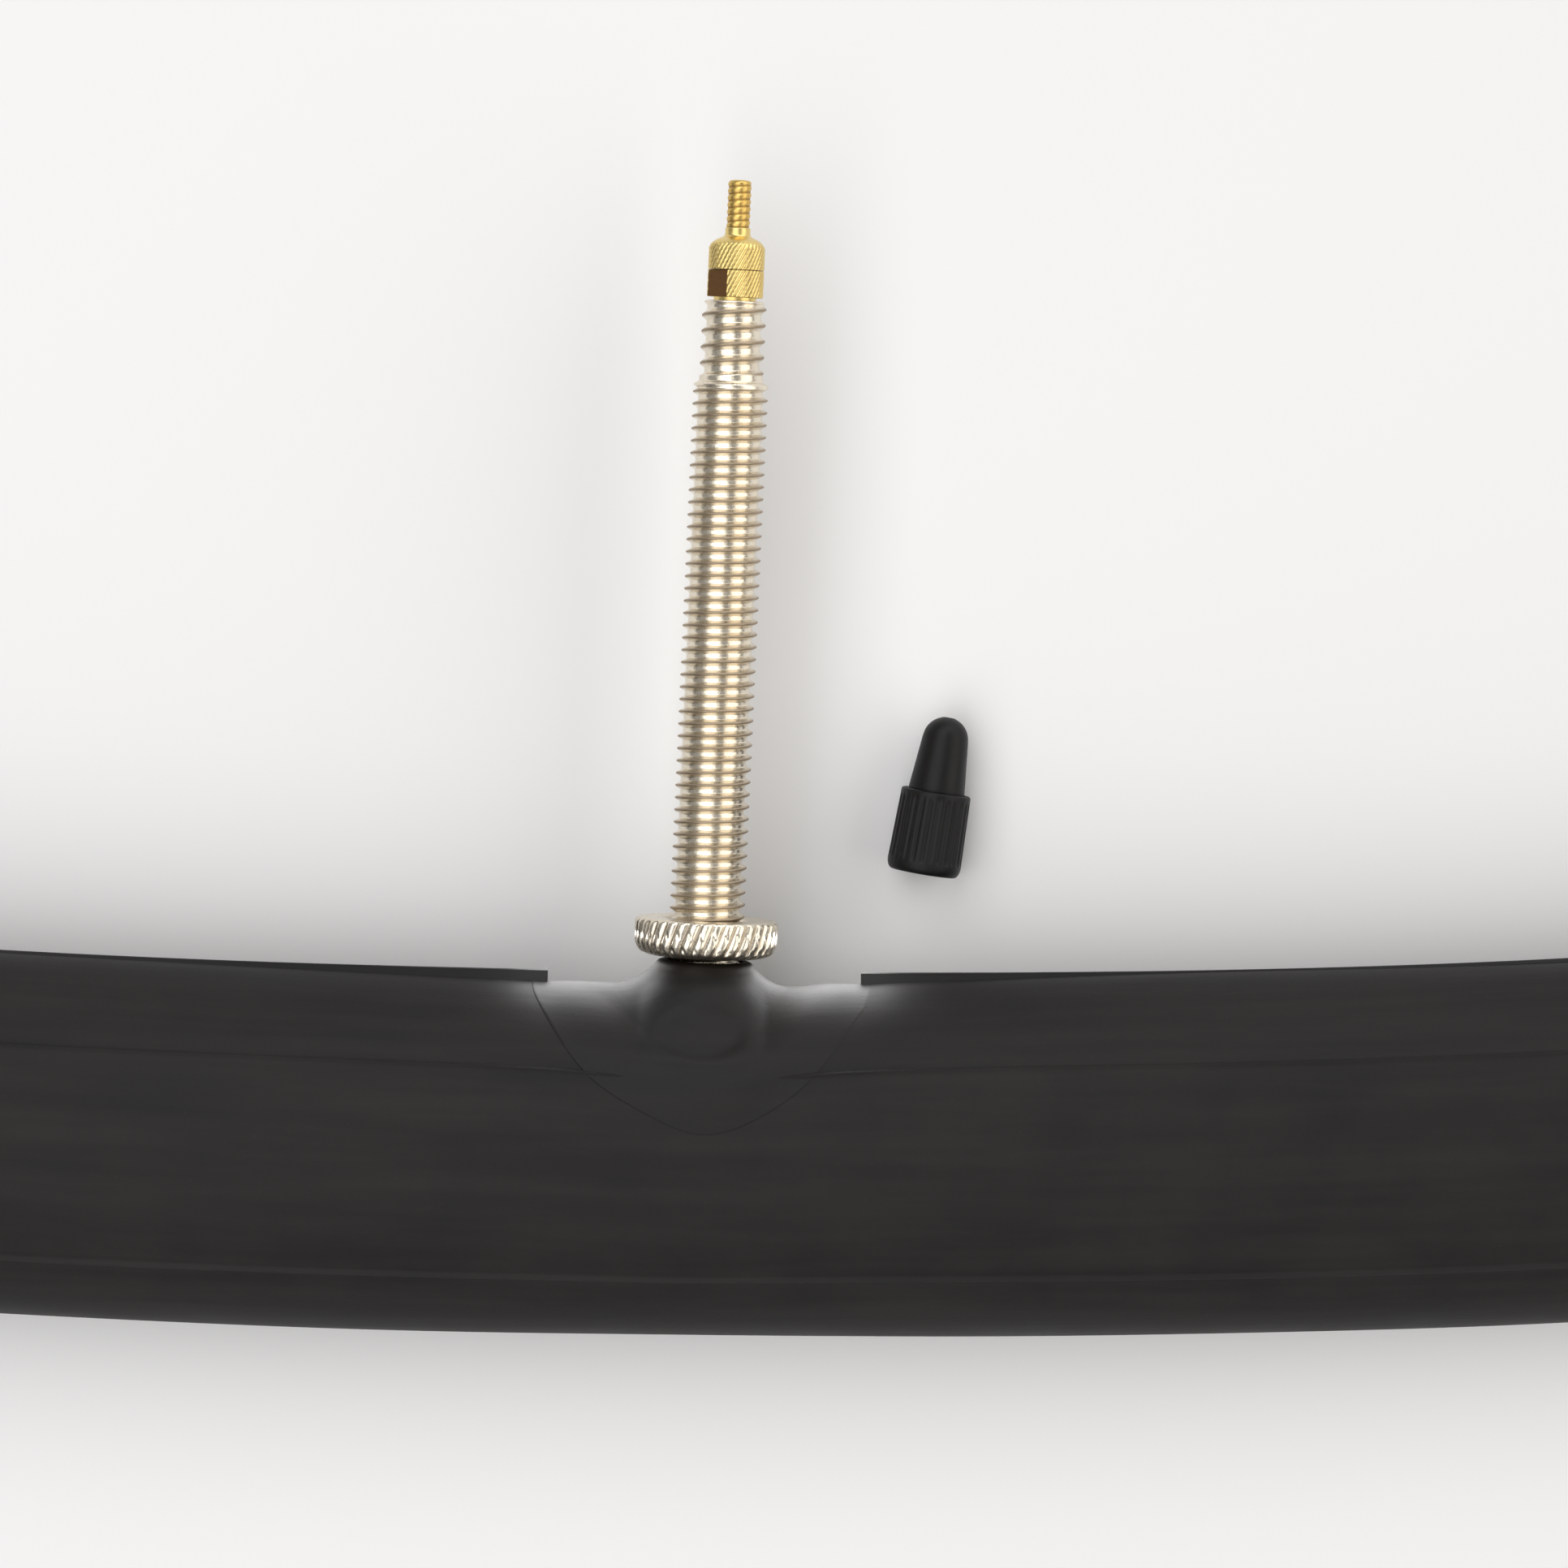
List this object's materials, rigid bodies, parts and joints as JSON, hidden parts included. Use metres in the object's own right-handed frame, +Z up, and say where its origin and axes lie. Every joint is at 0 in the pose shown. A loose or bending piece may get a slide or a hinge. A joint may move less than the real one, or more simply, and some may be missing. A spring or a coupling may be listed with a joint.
{
  "type": "bicycle inner tube",
  "caption": "Closed rubber tube ring for a 700C bicycle wheel, with a long threaded valve, removable valve core, rim nut and dust cap.",
  "frame": {"origin": "under the middle of the ring's box, on the surface that the tube lies on", "axes": "+Z up, out of the plane of the ring; the valve is on the -Y side and points to +Y, leaning two degrees to +X"},
  "size_m": [0.679, 0.6016, 0.0217],
  "materials": {
    "butyl_rubber": "matte, dusted with talc",
    "base_rubber": "satin, moulded",
    "seal_rubber": "matte",
    "nickel_plate": "bright, warm nickel plate",
    "brass": "bright, machined",
    "white_gasket": "matte",
    "black_plastic": "satin, moulded"
  },
  "bodies": {
    "tube": {"inner_tube": "butyl_rubber", "valve_base_patch": "base_rubber", "valve_stem": "nickel_plate"},
    "core": {"core_body": "brass", "core_gasket": "white_gasket"},
    "pin": {"valve_pin": "brass", "pin_seal": "seal_rubber", "pin_foot": "brass"},
    "lock_nut": {"lock_nut": "brass"},
    "rim_nut": {"rim_nut": "nickel_plate"},
    "dust_cap": {"dust_cap": "black_plastic"}
  },
  "joints": [
    {"name": "core_unscrew", "type": "slide", "parent": "tube", "child": "core", "axis": [0.0349, 0.9994, 0], "range_m": [0, 0.02]},
    {"name": "lock_nut_turn", "type": "hinge", "parent": "core", "child": "lock_nut", "pos_m": [0, -0.27193, 0.0109], "axis": [0.0349, 0.9994, 0], "range_deg": [0, 1440]},
    {"name": "pin_sink", "type": "slide", "parent": "core", "child": "pin", "axis": [0.0349, 0.9994, 0], "range_m": [-0.0022, 0]},
    {"name": "rim_nut_unscrew", "type": "slide", "parent": "tube", "child": "rim_nut", "axis": [0.0349, 0.9994, 0], "range_m": [0, 0.0415]},
    {"name": "dust_cap_lift", "type": "slide", "parent": "tube", "child": "dust_cap", "axis": [0, 0, 1], "range_m": [0, 0.03]}
  ],
  "couplings": [
    {"joint": "lock_nut_turn", "follows": "pin_sink", "rad_per_m": -11424}
  ]
}
